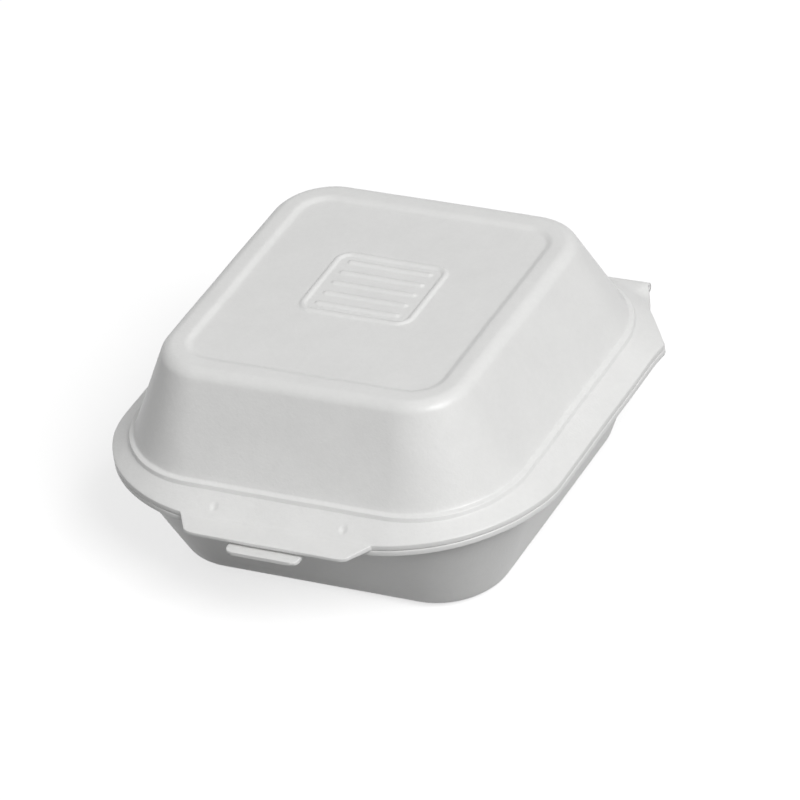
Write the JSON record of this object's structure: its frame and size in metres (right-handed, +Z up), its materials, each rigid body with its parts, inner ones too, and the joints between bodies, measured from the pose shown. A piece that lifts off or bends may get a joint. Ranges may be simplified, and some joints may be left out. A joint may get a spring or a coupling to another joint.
{
  "type": "foam clamshell container",
  "caption": "Square hinged foam food container with sloping walls, a domed lid, a skirted rim, a front tab and a fold hinge along the back.",
  "frame": {"origin": "middle of the underside of the overall box, on the surface that the closed container stands on", "axes": "+Z up, +X along the hinge, -Y to the front with the tab, +Y to the hinge"},
  "size_m": [0.15, 0.1636, 0.074],
  "materials": {
    "foam": "satin white polystyrene foam sheet"
  },
  "bodies": {
    "tray": {"base_tray": "foam"},
    "cover": {"lid": "foam"}
  },
  "joints": [
    {"name": "lid_hinge", "type": "hinge", "parent": "tray", "child": "cover", "pos_m": [0, 0.0802, 0.037], "axis": [-1, 0, 0], "range_deg": [0, 180]}
  ]
}
